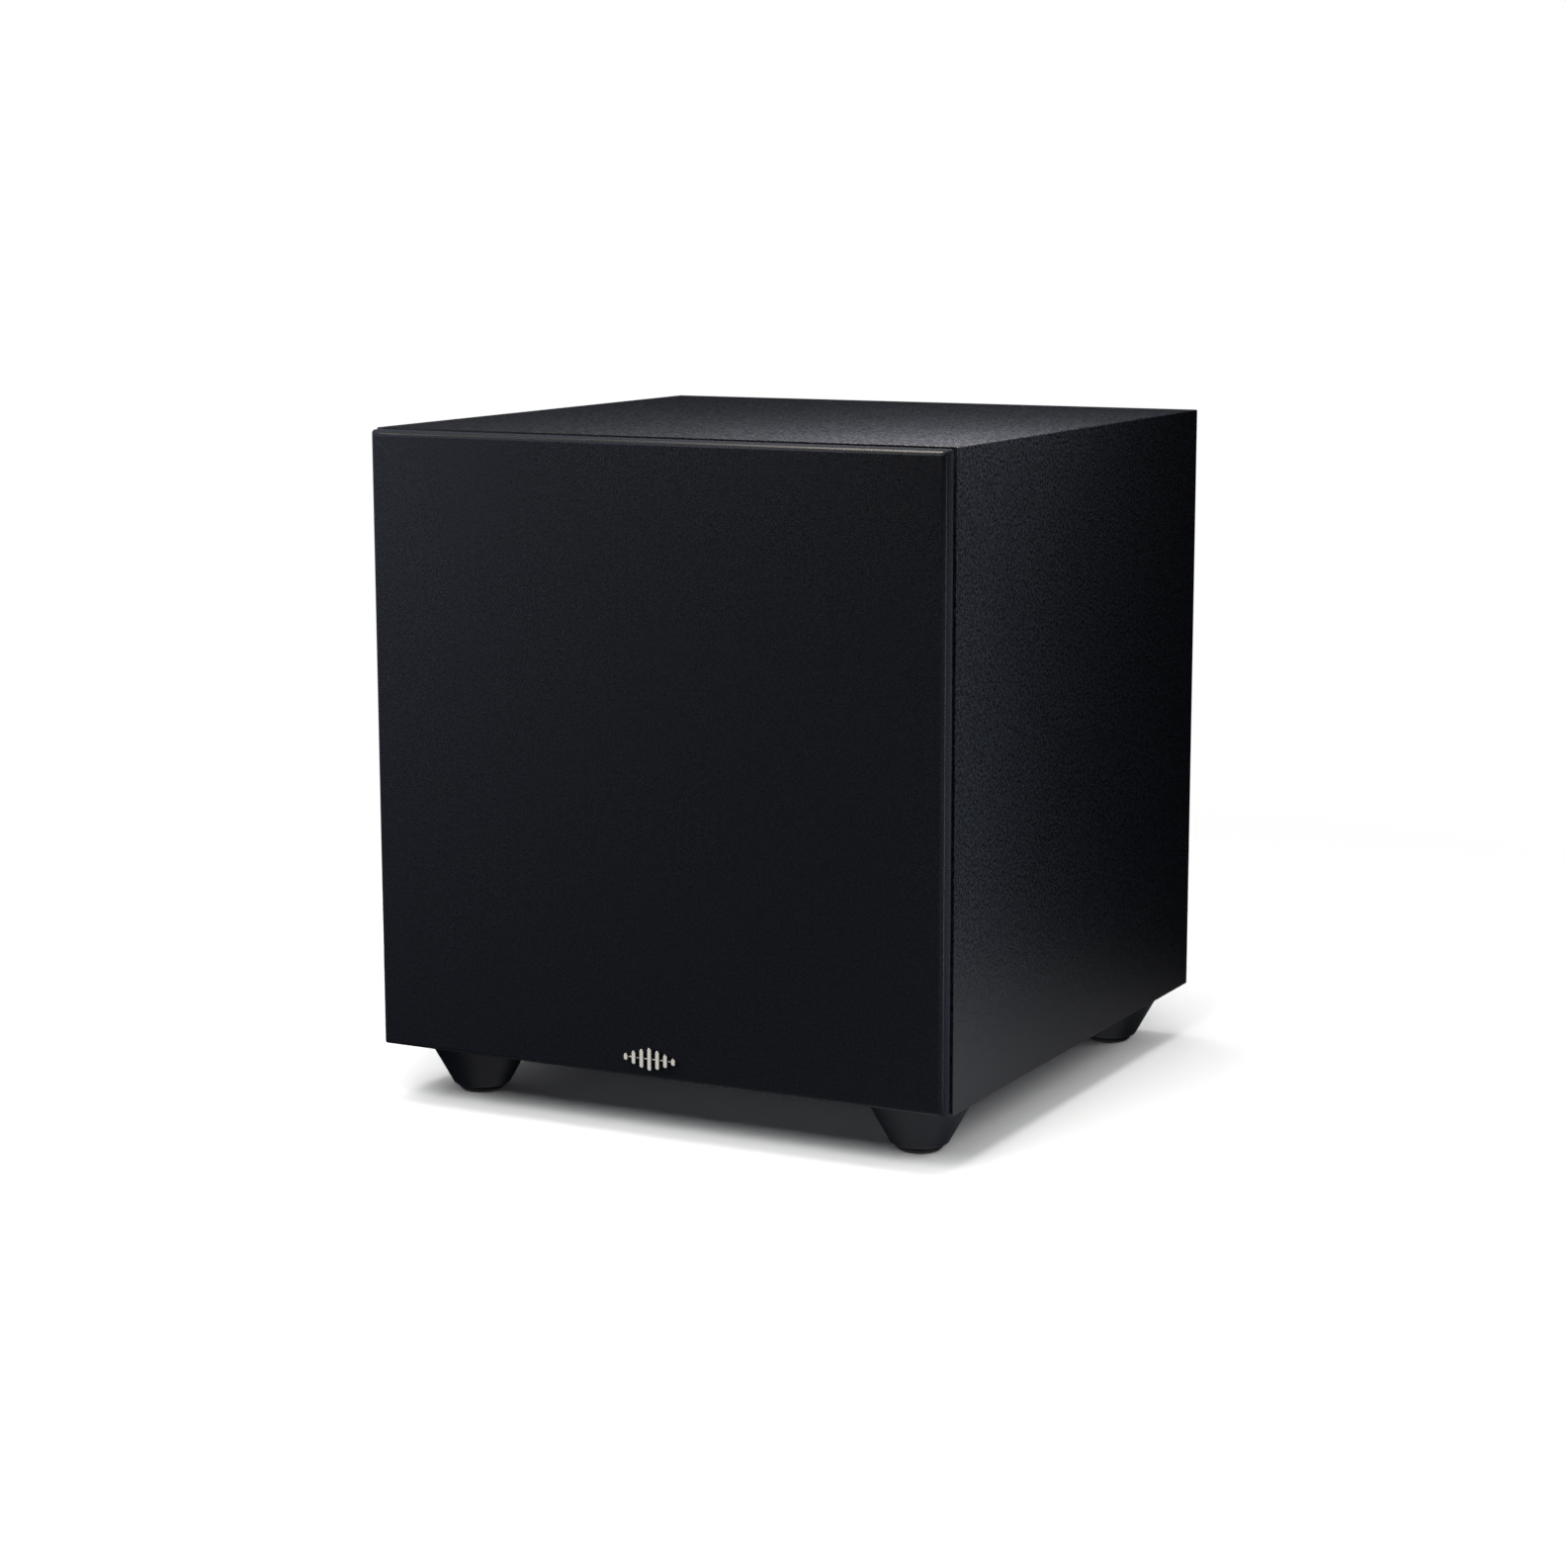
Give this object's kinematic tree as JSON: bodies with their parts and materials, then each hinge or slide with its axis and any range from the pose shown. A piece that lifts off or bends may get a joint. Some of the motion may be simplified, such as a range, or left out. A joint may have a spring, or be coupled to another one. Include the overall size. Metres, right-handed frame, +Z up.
{
  "type": "subwoofer",
  "caption": "Powered subwoofer: a near-cube satin black cabinet on cone feet, with a pull-off cloth grille over a long-throw driver, a floor-firing port and a rear amplifier plate.",
  "frame": {"origin": "on the floor, below the middle of the whole object's bounding box", "axes": "+Z up; the grille faces -Y and the amplifier plate faces +Y; +X is to the right as seen from the front"},
  "size_m": [0.4, 0.4234, 0.433],
  "materials": {
    "cabinet_wrap": "satin vinyl wrap with a very fine grain",
    "fibreboard": "raw",
    "grille_fabric": "woven",
    "grille_plastic": "matt",
    "badge_chrome": "polished",
    "foot_plastic": "satin",
    "black_rubber": "matt",
    "port_plastic": "satin",
    "basket_casting": "black powder coat",
    "cone_paper": "coated",
    "dust_cap_plastic": "satin",
    "copper_wire": "enamelled copper",
    "spider_cotton": "resin-dipped",
    "plated_steel": "zinc plated",
    "ferrite": "matt",
    "amp_plate_metal": "black anodised",
    "circuit_board": "solder mask",
    "transformer_tape": "polyester tape over copper",
    "capacitor_sleeve": "shrink sleeve",
    "gold_plated_brass": "polished",
    "fitting_plastic": "fine matt",
    "polyester_wool": "soft",
    "led_lens": "clear blue"
  },
  "bodies": {
    "cabinet": {"cabinet_top": "cabinet_wrap", "cabinet_bottom": "cabinet_wrap", "cabinet_left": "cabinet_wrap", "cabinet_right": "cabinet_wrap", "front_baffle": "cabinet_wrap", "rear_panel": "cabinet_wrap", "inner_baffle": "fibreboard", "window_brace": "fibreboard", "foot_front_left": "foot_plastic", "foot_front_right": "foot_plastic", "foot_rear_left": "foot_plastic", "foot_rear_right": "foot_plastic", "foot_pad_front_left": "black_rubber", "foot_pad_front_right": "black_rubber", "foot_pad_rear_left": "black_rubber", "foot_pad_rear_right": "black_rubber", "grille_socket_top_left": "black_rubber", "grille_socket_top_right": "black_rubber", "grille_socket_bottom_left": "black_rubber", "grille_socket_bottom_right": "black_rubber", "driver_gasket": "black_rubber", "surround": "black_rubber", "amp_gasket": "black_rubber", "speaker_lead": "black_rubber", "port_tube": "port_plastic", "driver_basket": "basket_casting", "spider": "spider_cotton", "top_plate": "plated_steel", "yoke": "plated_steel", "level_pot": "plated_steel", "crossover_pot": "plated_steel", "phase_pot": "plated_steel", "mode_switch": "plated_steel", "magnet": "ferrite", "amp_plate": "amp_plate_metal", "power_board": "circuit_board", "control_board": "circuit_board", "toroidal_transformer": "transformer_tape", "capacitor_left": "capacitor_sleeve", "capacitor_right": "capacitor_sleeve", "input_jack_left": "gold_plated_brass", "input_jack_right": "gold_plated_brass", "inlet_pins": "gold_plated_brass", "terminal_strip": "fitting_plastic", "rocker_housing": "fitting_plastic", "mains_inlet": "fitting_plastic", "damping_pad": "polyester_wool", "status_led": "led_lens"},
    "grille": {"grille_frame": "grille_plastic", "grille_cloth": "grille_fabric", "badge": "badge_chrome"},
    "cone_assembly": {"cone": "cone_paper", "dust_cap": "dust_cap_plastic", "voice_coil": "copper_wire"},
    "level_knob": {"level_knob": "fitting_plastic"},
    "crossover_knob": {"crossover_knob": "fitting_plastic"},
    "phase_knob": {"phase_knob": "fitting_plastic"},
    "power_rocker": {"power_rocker": "fitting_plastic"},
    "mode_slider": {"mode_slider": "fitting_plastic"},
    "fuse_drawer": {"fuse_drawer": "fitting_plastic"}
  },
  "joints": [
    {"name": "grille_pull", "type": "slide", "parent": "cabinet", "child": "grille", "axis": [0, -1, 0], "range_m": [0, 0.12]},
    {"name": "cone_travel", "type": "slide", "parent": "cabinet", "child": "cone_assembly", "axis": [0, -1, 0], "range_m": [-0.012, 0.012], "stiffness_N_per_m": 5500, "deforming": ["surround", "spider"]},
    {"name": "level_turn", "type": "hinge", "parent": "cabinet", "child": "level_knob", "pos_m": [0.092, 0.1911, 0.3125], "axis": [0, 1, 0], "range_deg": [-150, 150]},
    {"name": "crossover_turn", "type": "hinge", "parent": "cabinet", "child": "crossover_knob", "pos_m": [0.038, 0.1911, 0.3125], "axis": [0, 1, 0], "range_deg": [-150, 150]},
    {"name": "phase_turn", "type": "hinge", "parent": "cabinet", "child": "phase_knob", "pos_m": [-0.016, 0.1911, 0.3125], "axis": [0, 1, 0], "range_deg": [-150, 150]},
    {"name": "power_rock", "type": "hinge", "parent": "cabinet", "child": "power_rocker", "pos_m": [-0.04, 0.1943, 0.1605], "axis": [1, 0, 0], "range_deg": [0, 16]},
    {"name": "mode_slide", "type": "slide", "parent": "cabinet", "child": "mode_slider", "axis": [1, 0, 0], "range_m": [-0.003, 0.003]},
    {"name": "fuse_drawer_slide", "type": "slide", "parent": "cabinet", "child": "fuse_drawer", "axis": [0, 1, 0], "range_m": [0, 0.03]}
  ]
}
